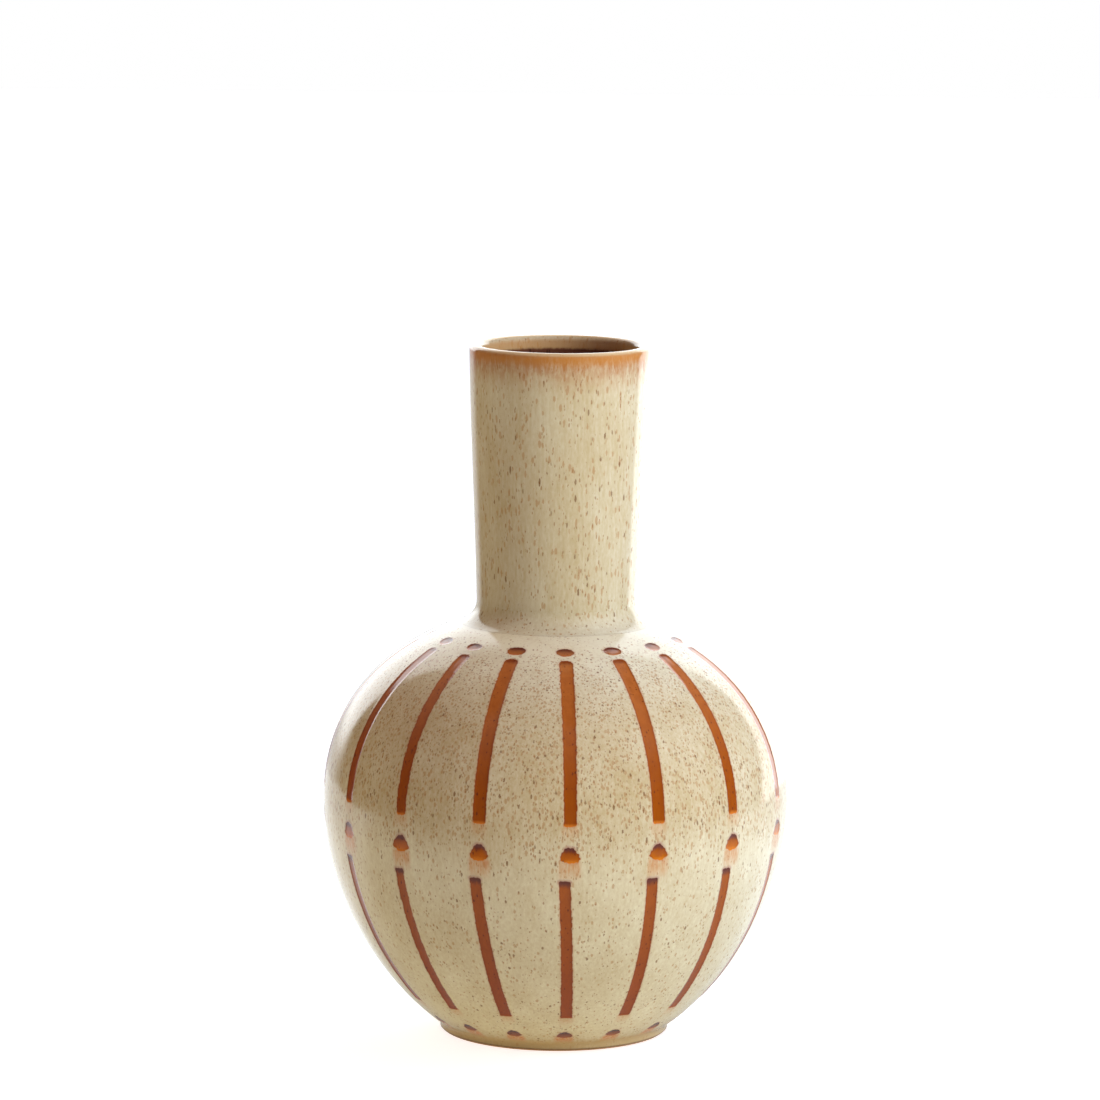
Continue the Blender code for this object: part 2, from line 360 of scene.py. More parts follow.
def runs(azimuth, arc):
    """How strongly the marks' colour has run into the cream glaze below them, from 0 to 1."""
    spread = np.zeros(azimuth.shape)
    for kind, (reach, strength, widen) in RUNS.items():
        mark = MARKS[kind][0]
        u, v = nearest_local(kind, azimuth, arc)
        below = -mark.length / 2 - v
        across = 1 - smooth(mark.width / 2 - 1.0 + widen, mark.width / 2 + 1.2 + widen, np.abs(u))
        fall = smooth(-1.6, 0.4, below) * (1 - smooth(0.15 * reach, reach, below))
        spread = np.maximum(spread, strength * across * fall)
    return spread


def speck_density(height):
    """How thickly the iron specks lie, by height."""
    z = height / MM
    crown = smooth(84, 108, z) * (1 - smooth(168, 177, z))
    return 0.34 + 0.66 * crown - 0.22 * smooth(175, 180, z)


def warmth(height):
    """How tan the cream glaze is, by height: paler low on the globe and just outside the bead."""
    z = height / MM
    low = 1 - smooth(86, 110, z)
    lowest = 1 - smooth(18, 50, z)
    collar = smooth(148, 177, z)
    return np.clip(0.74 - 0.3 * low - 0.1 * lowest - 0.7 * collar + 0.5 * (1 - smooth(4, 12, z)), 0, 1)


# ---- meshes ----


def grid_normals(points):
    """Outward normals inside a grid that has one spare row and column round it."""
    up = points[2:, 1:-1] - points[:-2, 1:-1]
    across = points[1:-1, 2:] - points[1:-1, :-2]
    normal = np.cross(across, up)
    return normal / np.linalg.norm(normal, axis=-1, keepdims=True)


def write_attributes(mesh, values):
    for name, data in values.items():
        kind, key = ("FLOAT_VECTOR", "vector") if data.ndim == 2 else ("FLOAT", "value")
        layer = mesh.attributes.new(name, kind, "POINT")
        layer.data.foreach_set(key, np.ascontiguousarray(data, np.float32).ravel())


def make_piece(name, points, faces, normals, values, material):
    """One closed mesh. Where a normal is zero, Blender works it out from the faces."""
    mesh = bpy.data.meshes.new(name)
    mesh.from_pydata(points.tolist(), [], faces)
    mesh.polygons.foreach_set("use_smooth", np.ones(len(mesh.polygons), bool))
    write_attributes(mesh, values)
    mesh.materials.append(material)
    mesh.validate()
    mesh.normals_split_custom_set_from_vertices(normals.tolist())
    piece = bpy.data.objects.new(name, mesh)
    bpy.context.scene.collection.objects.link(piece)
    return piece


class Lathe:
    """Rings of points stacked into one closed turned skin. A ring of one point closes it at the axis."""

    def __init__(self, sides):
        self.sides, self.rings, self.normals, self.values = sides, [], [], {}
        self.azimuths = np.linspace(0, 2 * math.pi, sides, endpoint=False)
        self.wrapped = np.concatenate([self.azimuths[-1:] - 2 * math.pi, self.azimuths, [2 * math.pi]])

    def add(self, points, normal, **values):
        self.rings.append(points)
        self.normals.append(np.broadcast_to(normal, points.shape))
        for name, value in values.items():
            shape = (len(points), *np.shape(value)[1:])
            self.values.setdefault(name, []).append(np.broadcast_to(value, shape))

    def around(self, out, up, count=None):
        """Vectors all round the axis, or the first count of them: out from it and up."""
        angles = self.azimuths[:count]
        return np.stack([out * np.sin(angles), -out * np.cos(angles), np.full(len(angles), up)], -1)

    def turn(self, radius, height, normal_r=0.0, normal_z=0.0, **values):
        """One plain ring, with its normal if it has one."""
        count = 1 if radius < AXIS_RADIUS else self.sides
        self.add(self.around(radius, height, count), self.around(normal_r, normal_z, count), **values)

    def faces(self, loop):
        starts = np.cumsum([0] + [len(ring) for ring in self.rings])
        pairs = [(i, i + 1) for i in range(len(self.rings) - 1)]
        if loop:
            pairs.append((len(self.rings) - 1, 0))
        made = []
        here = np.arange(self.sides)
        after = (here + 1) % self.sides
        for low, high in pairs:
            a, b = starts[low], starts[high]
            if len(self.rings[low]) == 1:
                quads = np.stack([np.full(self.sides, a), b + after, b + here], -1)
            elif len(self.rings[high]) == 1:
                quads = np.stack([a + here, a + after, np.full(self.sides, b)], -1)
            else:
                quads = np.stack([a + here, a + after, b + after, b + here], -1)
            made.extend(quads.tolist())
        return made

    def piece(self, name, material, loop):
        values = {key: np.concatenate(parts) for key, parts in self.values.items()}
        points = np.concatenate(self.rings)
        return make_piece(name, points, self.faces(loop), np.concatenate(self.normals), values, material)


def flow(points, arc, stretch=GLOBE_STRETCH):
    """Where the glaze pattern is read, in mm: round the vase, and stretched down it as the glaze ran."""
    arc = np.broadcast_to(arc, points.shape[:-1])
    return np.stack([points[..., 0] / MM, points[..., 1] / MM, arc / MM * stretch], -1)


def sunk(azimuth, arc):
    """How far the globe's mesh is let down under the patches that carry the marks."""
    depth = np.zeros(azimuth.shape)
    for kind, kept in MARKS.items():
        mark = kept[0]
        u, v = nearest_local(kind, azimuth, arc)
        for_width = mark.width / 2 + (PATCH_MARGIN - SUNK_MARGIN) / MM - np.abs(u)
        for_length = mark.length / 2 + (PATCH_MARGIN - SUNK_MARGIN) / MM - np.abs(v)
        inside = np.minimum(for_width, for_length) > 0
        depth = np.where(inside, SUNK_DEPTH, depth)
    return depth


def inner_globe():
    """Radius and height of the globe's inner wall, from the edge of the floor up to the mouth."""
    radius = RADII - GLOBE_WALL * OUT_R
    height = HEIGHTS - GLOBE_WALL * OUT_Z
    mouth = neck_radius(NECK_FOOT) - NECK_WALL
    first = int(np.argmax(height >= FLOOR_TOP))
    wide = int(np.argmax(radius))
    last = wide + int(np.argmax(radius[wide:] <= mouth))
    return radius[first : last + 1], height[first : last + 1]


def globe_rings(lathe, arcs):
    """The outside of the globe at these arcs, lowest first."""
    spare = np.concatenate([[2 * arcs[0] - arcs[1]], arcs, [2 * arcs[-1] - arcs[-2]]])
    grid = on_globe(lathe.wrapped[None, :], spare[:, None])
    normals = grid_normals(grid)
    angles = lathe.azimuths
    flat = np.zeros(lathe.sides)
    for row, arc in enumerate(arcs):
        here = flat + arc
        height = np.interp(arc, ARCS, HEIGHTS)
        lathe.add(
            on_globe(angles, here, -sunk(angles, here)), normals[row],
            flow=flow(on_globe(angles, here), arc), run=runs(angles, here),
            speck=flat + speck_density(height), warm=flat + warmth(height), liner=flat, bare=flat,
        )


def plain_ring(lathe, radius, height, normal, liner=0.0, bare=0.0, speck=0.4, warm=0.5):
    """A ring below or inside the globe: glaze, the liner glaze of the hollow or bare clay."""
    count = 1 if radius < AXIS_RADIUS else lathe.sides
    pattern = flow(lathe.around(radius, height, count), height - UNDERSIDE)
    flat = np.zeros(count)
    lathe.turn(
        radius, height, *normal,
        flow=pattern, run=flat, speck=flat + speck, warm=flat + warm,
        liner=flat + liner, bare=flat + bare,
    )


def inside_rings(lathe, first, last):
    radius, height = inner_globe()
    for i in np.linspace(first, last, INSIDE_RINGS).astype(int):
        plain_ring(lathe, radius[i], height[i], (0, 0), liner=1.0)


def globe_upper(material, split):
    lathe = Lathe(GLOBE_SIDES)
    count = round((arc_at(LANDING_HEIGHT) - split) / RING_STEP)
    globe_rings(lathe, np.linspace(split, arc_at(LANDING_HEIGHT), count))
    radius, height = inner_globe()
    plain_ring(lathe, radius[-1], LANDING_HEIGHT, (0, 0))
    split_height = np.interp(split, ARCS, HEIGHTS)
    inside_rings(lathe, len(radius) - 1, int(np.argmax(height >= split_height)))
    return lathe.piece("globe_upper", material, loop=True)


def globe_lower(material, split):
    lathe = Lathe(GLOBE_SIDES)
    for radius in (0, FOOT_RADIUS / 2, FOOT_RADIUS - FOOT_WIDTH, FOOT_RADIUS + SKIN_GAP):
        plain_ring(lathe, radius, UNDERSIDE, (0, -1), bare=1.0)
    skirt_edge = FOOT_RADIUS + COLLAR_WALL / 2
    collar_low = COLLAR_FOOT + COLLAR_EDGE
    plain_ring(lathe, FOOT_RADIUS + SKIN_GAP, collar_low, (0, 0), bare=1.0)
    plain_ring(lathe, skirt_edge, COLLAR_FOOT, (0, -1), speck=0.2, warm=1.0)
    for share in np.linspace(0, 1, 9)[:-1]:
        radius = FOOT_RADIUS + COLLAR_WALL
        radius += (BASE_RADIUS - radius) * share**COLLAR_SWEEP
        height = collar_low + (UNDERSIDE - collar_low) * share
        plain_ring(lathe, radius, height, (0, 0), speck=0.2, warm=1.0)
    globe_rings(lathe, np.linspace(0, split, round(split / RING_STEP)))
    radius, height = inner_globe()
    split_height = np.interp(split, ARCS, HEIGHTS)
    inside_rings(lathe, int(np.argmax(height >= split_height)), 0)
    for share in (0.97, 0.7, 0.35, 0):
        plain_ring(lathe, radius[0] * share, FLOOR_TOP, (0, 1), liner=1.0)
    return lathe.piece("globe_lower", material, loop=False)


def neck(material):
    """The neck with its full round lip. Over counts millimetres from the lip's crest, inwards positive."""
    lathe = Lathe(NECK_SIDES)
    lip_round = NECK_WALL / 2
    lip_height = LIP_HEIGHT - lip_round
    outside = np.linspace(NECK_FOOT, lip_height, round((lip_height - NECK_FOOT) / RING_STEP))
    path = [(neck_radius(z), z) for z in outside]
    lip_middle = path[-1][0] - lip_round
    for angle in np.radians(np.linspace(0, 180, 15)[1:-1]):
        path.append((lip_middle + lip_round * math.cos(angle), lip_height + lip_round * math.sin(angle)))
    path += [(neck_radius(z) - NECK_WALL, z) for z in outside[::-3]]
    path.append((neck_radius(NECK_FOOT) - NECK_WALL, NECK_FOOT))
    path = np.array(path)
    run = np.concatenate([[0], np.cumsum(np.hypot(*np.diff(path, axis=0).T))])
    crest = run[int(np.argmax(path[:, 1]))]
    slope = np.gradient(path, run, axis=0)
    flat = np.zeros(lathe.sides)
    for (radius, z), at, (along_r, along_z) in zip(path, run, slope):
        points, normal = lathe.around(radius, z), lathe.around(along_z, -along_r)
        push = (throwing(points) * NECK_THROWING)[:, None] * normal
        lathe.add(
            points + push, normal,
            flow=flow(points, at, NECK_STRETCH), over=flat + (at - crest) / MM,
            speck=flat + 0.44, warm=flat + 0.7,
        )
    return lathe.piece("neck_and_lip", material, loop=True)


def luting_bead(material):
    """The fillet of slip between the neck and the globe, which meets both without an edge."""
    lathe = Lathe(NECK_SIDES)
    lift = PATCH_LIFT * 2
    crown = HEIGHTS > WIDEST_HEIGHT
    outer_arc = float(np.interp(BEAD_RADIUS, RADII[crown][::-1], ARCS[crown][::-1]))
    out_r, out_z = np.interp(outer_arc, ARCS, OUT_R), np.interp(outer_arc, ARCS, OUT_Z)
    end_height = np.interp(outer_arc, ARCS, HEIGHTS)
    end = np.array([radius_at(outer_arc) + lift * out_r, end_height + lift * out_z])
    start = np.array([neck_radius(BEAD_TOP) + lift, BEAD_TOP])
    uphill = np.array([-out_z, out_r])
    bend = 0.62 * (BEAD_TOP - NECK_FOOT)
    handle_low, handle_high = end + uphill * bend * 0.8, start - np.array([0, bend])
    share = np.linspace(0, 1, 22)[:, None]
    path = (1 - share) ** 3 * end + 3 * (1 - share) ** 2 * share * handle_low
    path = path + 3 * (1 - share) * share**2 * handle_high + share**3 * start
    slope = np.gradient(path, axis=0)
    slope[0], slope[-1] = uphill, (0, 1)
    slope /= np.linalg.norm(slope, axis=1, keepdims=True)
    back = [
        (neck_radius(BEAD_TOP) + lift / 2, BEAD_TOP - 0.1 * MM),
        (neck_radius(NECK_FOOT) + 0.3 * MM, NECK_FOOT + 0.05 * MM),
        (LANDING_RADIUS + 0.3 * MM, NECK_FOOT + 0.05 * MM),
        (end[0] - 0.2 * MM, end[1] + 0.02 * MM),
    ]
    run = arc_at(LANDING_HEIGHT)
    rings = [(r, z, dz, -dr) for (r, z), (dr, dz) in zip(path, slope)]
    rings += [(r, z, 0, 0) for r, z in back]
    flat = np.zeros(lathe.sides)
    for i, (radius, z, normal_r, normal_z) in enumerate(rings):
        rise = min(i / (len(path) - 1), 1)
        lathe.turn(
            radius, z, normal_r, normal_z,
            flow=flow(lathe.around(radius, z), run + z - LANDING_HEIGHT), run=flat,
            speck=flat + 0.2 + 0.24 * rise, warm=flat + 0.35 + 0.35 * rise,
        )
    return lathe.piece("luting_bead_fillet", material, loop=True)


def clay_foot(material):
    """The bare foot ring, with a softened edge inside and out and two fine cutting grooves."""
    lathe = Lathe(NECK_SIDES)
    inner, edge = FOOT_RADIUS - FOOT_WIDTH, FOOT_EDGE
    turns = [(math.sin(a), math.cos(a)) for a in np.linspace(0, math.pi / 2, 7)]
    path = [(FOOT_RADIUS - edge + edge * sine, edge - edge * cosine) for sine, cosine in turns]
    path += [(FOOT_RADIUS, FOOT_TOP), (inner, FOOT_TOP)]
    path += [(inner + edge - edge * cosine, edge - edge * sine) for sine, cosine in turns]
    for share in FOOT_STEPS:
        groove = FOOT_GROOVE if share in FOOT_GROOVES else 0
        path.append((inner + edge + (FOOT_WIDTH - 2 * edge) * share, groove))
    for radius, z in path:
        lathe.turn(radius, z)
    return lathe.piece("clay_foot_ring", material, loop=True)


# ---- the marks' patches ----


def edge_distance(outline, u, v):
    """Millimetres from each point to the outline, positive inside it."""
    here = np.stack([u, v], -1)[..., None, :]
    start, step = outline, np.roll(outline, -1, 0) - outline
    along = ((here - start) * step).sum(-1) / (step**2).sum(-1)
    nearest = start + np.clip(along, 0, 1)[..., None] * step
    distance = np.linalg.norm(here - nearest, axis=-1).min(-1)
    crosses = (start[:, 1] > v[..., None]) != ((start + step)[:, 1] > v[..., None])
    rise = np.where(np.abs(step[:, 1]) < 1e-9, 1e-9, step[:, 1])
    right = u[..., None] < start[:, 0] + (v[..., None] - start[:, 1]) * step[:, 0] / rise
    inside = (crosses & right).sum(-1) % 2 == 1
    return np.where(inside, distance, -distance)


def patch(mark):
    """Points, faces, normals and shading values of one mark's patch, a thin closed body."""
    half_u = mark.width / 2 + PATCH_MARGIN / MM
    half_v = mark.length / 2 + PATCH_MARGIN / MM
    step = PATCH_STEP / MM
    count_u, count_v = round(2 * half_u / step), round(2 * half_v / step)
    grow_u, grow_v = half_u * (1 + 2 / count_u), half_v * (1 + 2 / count_v)
    u, v = np.meshgrid(np.linspace(-grow_u, grow_u, count_u + 3), np.linspace(-grow_v, grow_v, count_v + 3))
    edge = np.stack([edge_distance(mark.outline, a, b) for a, b in zip(u, v)])
    azimuth, arc = mark.place(u, v)
    rim_rise = POOL_RIM * smooth(-1.1, -0.3, edge) * (1 - smooth(-0.3, 0.5, edge))
    dip = POOL_DEPTH * smooth(-0.45, 1.7, edge) - rim_rise
    grid = on_globe(azimuth, arc, PATCH_LIFT - dip * MM)
    normals = grid_normals(grid)
    inner = (slice(1, -1), slice(1, -1))
    nominal = on_globe(azimuth, arc)[inner]
    azimuth, arc, edge, u, v = azimuth[inner], arc[inner], edge[inner], u[inner], v[inner]
    rows, columns = edge.shape
    top = np.arange(rows * columns).reshape(rows, columns)
    faces = np.stack([top[:-1, :-1], top[:-1, 1:], top[1:, 1:], top[1:, :-1]], -1).reshape(-1, 4).tolist()
    rim = np.concatenate([top[0, :-1], top[:-1, -1], top[-1, :0:-1], top[:0:-1, 0]])
    below = on_globe(azimuth, arc, -PATCH_BOTTOM).reshape(-1, 3)[rim]
    low = np.arange(len(rim)) + rows * columns
    after = np.roll(np.arange(len(rim)), -1)
    faces += np.stack([rim, low, low[after], rim[after]], -1).tolist()
    place = {int(vertex): int(copy) for vertex, copy in zip(rim, low)}
    left, right = [place[int(i)] for i in top[:, 0]], [place[int(i)] for i in top[:, -1]]
    first, last = [place[int(i)] for i in top[0]], [place[int(i)] for i in top[-1]]
    faces.append([left[1], right[1]] + first[::-1])
    faces += [[left[i + 1], right[i + 1], right[i], left[i]] for i in range(1, rows - 2)]
    faces.append(last + [right[rows - 2], left[rows - 2]])
    height = np.interp(arc, ARCS, HEIGHTS)
    values = {
        "flow": flow(nominal, arc).reshape(-1, 3), "run": runs(azimuth, arc).ravel(),
        "speck": speck_density(height).ravel(), "warm": warmth(height).ravel(), "edge": edge.ravel(),
        "from_top": (mark.length / 2 - v).ravel(), "from_foot": (mark.length / 2 + v).ravel(),
    }
    values = {key: np.concatenate([data, data[rim]]) for key, data in values.items()}
    points = np.concatenate([grid[inner].reshape(-1, 3), below])
    normals = np.concatenate([normals.reshape(-1, 3), np.zeros((len(rim), 3))])
    return points, faces, normals, values


def mark_piece(kind, material):
    """All patches of one kind, as one piece."""
    points, faces, normals, values, offset = [], [], [], {}, 0
    for mark in MARKS[kind]:
        more, its_faces, its_normals, its_values = patch(mark)
        points.append(more)
        normals.append(its_normals)
        faces += [[index + offset for index in face] for face in its_faces]
        for key, data in its_values.items():
            values.setdefault(key, []).append(data)
        offset += len(more)
    values = {key: np.concatenate(parts) for key, parts in values.items()}
    return make_piece(kind, np.concatenate(points), faces, np.concatenate(normals), values, material)


# ---- materials ----


def linear(red, green, blue):
    """An sRGB colour, 0 to 255, as the linear colour that shaders take."""
    shares = (red / 255, green / 255, blue / 255)
    return tuple(c / 12.92 if c <= 0.04045 else ((c + 0.055) / 1.055) ** 2.4 for c in shares)


PALE = linear(224, 225, 198)
TAN = linear(187, 174, 133)
NECK_PALE = linear(213, 215, 190)
NECK_TAN = linear(184, 173, 135)
SOFT_SPECK = linear(166, 120, 68)
FINE_SPECK = linear(140, 96, 52)
DARK_SPECK = linear(112, 74, 38)
RUN = linear(196, 138, 84)
RUST = linear(166, 114, 66)
LIP_BAND = linear(180, 124, 58)
# painted highlight: the pale colour laid along the lip's crest
PAINTED_LIP_HIGHLIGHT = linear(226, 196, 138)
INSIDE_LIP = linear(188, 142, 84)
LINER = linear(112, 72, 52)
DARK_LINER = linear(84, 50, 38)
LINER_SPECK = linear(48, 28, 22)
FOOT_GLAZE = linear(182, 154, 106)
FOOT_LINE = linear(96, 62, 34)
CLAY = linear(196, 160, 118)
DARK_CLAY = linear(158, 122, 84)
FOOT_CLAY = linear(166, 128, 88)
CLAY_GRIT = linear(110, 74, 48)
AMBER_CLOUD = linear(120, 58, 22)
AMBER_RIM = linear(112, 52, 34)
AMBER_SPECK = linear(70, 34, 24)
AMBER_BLUSH = linear(190, 128, 76)
HALO = linear(176, 156, 142)
PURPLE = linear(92, 50, 44)


class Nodes:
    """Short ways to add shader nodes to one tree and join them."""

    def __init__(self, tree):
        self.tree = tree
        tree.nodes.clear()

    def put(self, socket, value):
        if isinstance(value, bpy.types.NodeSocket):
            self.tree.links.new(value, socket)
        elif isinstance(value, tuple):
            socket.default_value = (*value, 1.0) if len(socket.default_value) == 4 else value
        else:
            socket.default_value = value

    def add(self, kind, inputs=None, **settings):
        node = self.tree.nodes.new(kind)
        for name, value in settings.items():
            setattr(node, name, value)
        for name, value in (inputs or {}).items():
            self.put(node.inputs[name], value)
        return node

    def math(self, operation, first, second=0.0, clamp=False):
        inputs = {0: first, 1: second}
        return self.add("ShaderNodeMath", inputs, operation=operation, use_clamp=clamp).outputs[0]

    def plus(self, first, second, clamp=False):
        return self.math("ADD", first, second, clamp)

    def minus(self, first, second):
        return self.math("SUBTRACT", first, second)

    def times(self, first, second, clamp=False):
        return self.math("MULTIPLY", first, second, clamp)

    def swing(self, noise, size):
        """Noise moved to lie about zero, times size."""
        return self.times(self.minus(noise, 0.5), size)

    def step(self, value, low, high, start=0.0, end=1.0):
        """Start below low, end above high, and a soft step between."""
        inputs = {"Value": value, "From Min": low, "From Max": high, "To Min": start, "To Max": end}
        return self.add("ShaderNodeMapRange", inputs, interpolation_type="SMOOTHSTEP").outputs["Result"]

    def fade(self, value, low, high):
        """One below low and zero above high."""
        return self.step(value, low, high, 1.0, 0.0)

    def mix(self, share, first, second):
        node = self.add("ShaderNodeMix", data_type="RGBA")
        for index, value in ((0, share), (6, first), (7, second)):
            self.put(node.inputs[index], value)
        return node.outputs[2]

    def attribute(self, name, output="Fac"):
        return self.add("ShaderNodeAttribute", attribute_name=name).outputs[output]

    def scaled(self, vector, scale):
        return self.add("ShaderNodeMapping", {"Vector": vector, "Scale": scale}).outputs["Vector"]

    def noise(self, vector, scale, detail=2.0, roughness=0.5):
        inputs = {"Vector": vector, "Scale": scale, "Detail": detail, "Roughness": roughness}
        return self.add("ShaderNodeTexNoise", inputs).outputs["Fac"]


def new_material(name):
    made = bpy.data.materials.new(name)
    made.use_nodes = True
    return made, Nodes(made.node_tree)


def specks(n, vector, scale, share, size):
    """A mask of irregular specks, and how big each is from 0 to 1. Share is how many cells of the
    pattern hold one, and size how much of its cell it fills."""
    bend = n.noise(vector, scale * 2.8, 3.0, 0.6)
    cells = n.add("ShaderNodeTexVoronoi", {"Vector": vector, "Scale": scale}).outputs
    chances = n.add("ShaderNodeSeparateColor", {"Color": cells["Color"]}).outputs
    distance = n.plus(cells["Distance"], n.swing(bend, 0.6))
    radius = n.times(n.plus(n.times(chances["Green"], 0.65), 0.35), size)
    there = n.math("LESS_THAN", chances["Red"], share)
    near = n.step(n.minus(radius, distance), -0.03, 0.09)
    return n.times(near, there), chances["Green"]


def cream(n, pale, tan, streaks):
    """The cream glaze's clouded, streaked and specked colour, where it is read, and its dark specks."""
    vector = n.attribute("flow", "Vector")
    warm, density = n.attribute("warm"), n.attribute("speck")
    cloud = n.noise(vector, 0.07, 3.0, 0.55)
    grain = n.noise(vector, 0.9, 3.0, 0.65)
    streak = n.noise(n.scaled(vector, (1.0, 1.0, 0.12)), 0.8, 4.0, 0.6)
    share = n.plus(warm, n.swing(cloud, 0.9))
    share = n.plus(share, n.swing(grain, 0.9))
    share = n.plus(share, n.swing(streak, streaks), clamp=True)
    colour = n.mix(share, pale, tan)
    patchy = n.step(n.noise(vector, 0.16, 2.0), 0.35, 0.7, 0.55, 1.15)
    dense = n.times(density, patchy)
    soft, _ = specks(n, vector, 0.7, dense, 0.5)
    colour = n.mix(n.times(soft, 0.48), colour, SOFT_SPECK)
    fine, _ = specks(n, vector, 1.05, n.times(dense, 0.75), 0.42)
    colour = n.mix(n.times(fine, 0.58), colour, FINE_SPECK)
    dark, bulk = specks(n, n.scaled(vector, (1, 1, 0.9)), 0.58, n.times(dense, 0.7), 0.33)
    depth = n.times(dark, n.plus(n.times(bulk, 0.4), 0.34))
    colour = n.mix(depth, colour, DARK_SPECK)
    return colour, vector, dark


def run_colour(n, colour, vector):
    """The marks' colour, run into the cream in fine streaks."""
    streak = n.noise(n.scaled(vector, (1.0, 1.0, 0.25)), 1.3, 4.0, 0.65)
    strength = n.times(n.attribute("run"), n.step(streak, 0.3, 0.62, 0.45, 1.25), clamp=True)
    return n.mix(strength, colour, RUN)


def finish_glaze(made, n, colour, vector, pits):
    """A glossy fired glaze with a faint orange-peel surface and shallow pits at the specks."""
    peel = n.noise(vector, 0.5, 2.0, 0.5)
    height = n.minus(peel, n.times(pits, 0.25))
    bump = n.add("ShaderNodeBump", {"Height": height, "Strength": 0.35, "Distance": 0.03 * MM})
    rough = n.step(n.noise(vector, 0.3, 2.0), 0.3, 0.7, 0.07, 0.14)
    inputs = {"Base Color": colour, "Roughness": rough, "Normal": bump.outputs["Normal"], "IOR": 1.5}
    shader = n.add("ShaderNodeBsdfPrincipled", inputs)
    n.add("ShaderNodeOutputMaterial", {"Surface": shader.outputs[0]})
    return made


def liner_colour(n, vector):
    dark, _ = specks(n, vector, 0.8, 0.6, 0.4)
    mottled = n.mix(n.noise(vector, 0.4, 4.0, 0.7), DARK_LINER, LINER)
    return n.mix(n.times(dark, 0.6), mottled, LINER_SPECK)


def globe_material():
    made, n = new_material("cream_glaze_globe")
    colour, vector, dark = cream(n, PALE, TAN, 0.5)
    colour = run_colour(n, colour, vector)
    down = n.add("ShaderNodeSeparateXYZ", {0: vector}).outputs["Z"]
    colour = n.mix(n.step(down, -0.6, 2.2, 0.5, 0.0), colour, FOOT_GLAZE)
    colour = n.mix(n.step(down, -1.75, -1.3, 0.8, 0.0), colour, FOOT_LINE)
    colour = n.mix(n.attribute("liner"), colour, liner_colour(n, vector))
    clay = n.mix(n.noise(vector, 1.4, 4.0, 0.7), CLAY, DARK_CLAY)
    colour = n.mix(n.attribute("bare"), colour, clay)
    return finish_glaze(made, n, colour, vector, dark)


def neck_material():
    """The neck's glaze: it broke to amber under the lip, a pale highlight is painted along the lip's crest,
    and a dark liner glaze starts inside.
    """
    made, n = new_material("cream_glaze_neck")
    colour, vector, dark = cream(n, NECK_PALE, NECK_TAN, 0.6)
    over = n.attribute("over")
    below = n.times(over, -1.0)
    drip = n.noise(n.scaled(vector, (1.0, 1.0, 0.4)), 0.42, 4.0, 0.65)
    patch_noise = n.noise(vector, 0.5, 4.0, 0.65)
    reach = n.plus(n.swing(drip, 11.0), 14.0)
    rust = n.fade(n.minus(below, reach), -11.0, 7.0)
    rust = n.times(rust, n.step(patch_noise, 0.35, 0.6, 0.4, 1.0))
    rust = n.times(rust, n.step(below, 1.6, 4.0))
    colour = n.mix(n.times(rust, 0.95), colour, RUST)
    band = n.times(n.step(below, 1.6, 3.0), n.fade(below, 4.0, 9.0))
    colour = n.mix(n.times(band, 0.8), colour, LIP_BAND)
    inside = n.times(n.step(over, 1.6, 4.5), 0.75)
    colour = n.mix(inside, colour, INSIDE_LIP)
    # painted highlight: a pale band over the lip's crest, standing in for the light it catches
    crest = n.times(n.step(below, -2.5, -1.2), n.fade(below, 1.4, 3.2))
    colour = n.mix(n.times(crest, 0.6), colour, PAINTED_LIP_HIGHLIGHT)
    ragged = n.plus(over, n.swing(patch_noise, 1.6))
    colour = n.mix(n.step(ragged, 6.4, 7.8), colour, liner_colour(n, vector))
    return finish_glaze(made, n, colour, vector, dark)


def bead_material():
    made, n = new_material("bead_glaze")
    colour, vector, dark = cream(n, NECK_PALE, NECK_TAN, 0.5)
    return finish_glaze(made, n, colour, vector, dark)


def clay_material():
    made, n = new_material("bare_stoneware_clay")
    vector = n.scaled(n.add("ShaderNodeTexCoord").outputs["Object"], (1 / MM, 1 / MM, 1 / MM))
    grit, _ = specks(n, vector, 1.6, 0.5, 0.4)
    colour = n.mix(n.noise(vector, 0.8, 5.0, 0.7), CLAY, FOOT_CLAY)
    colour = n.mix(n.times(grit, 0.5), colour, CLAY_GRIT)
    height = n.minus(n.noise(vector, 2.4, 5.0, 0.7), grit)
    bump = n.add("ShaderNodeBump", {"Height": height, "Strength": 0.5, "Distance": 0.08 * MM})
    rough = n.step(n.noise(vector, 1.0), 0.3, 0.7, 0.72, 0.9)
    inputs = {"Base Color": colour, "Roughness": rough, "Normal": bump.outputs[0]}
    shader = n.add("ShaderNodeBsdfPrincipled", inputs)
    n.add("ShaderNodeOutputMaterial", {"Surface": shader.outputs[0]})
    return made


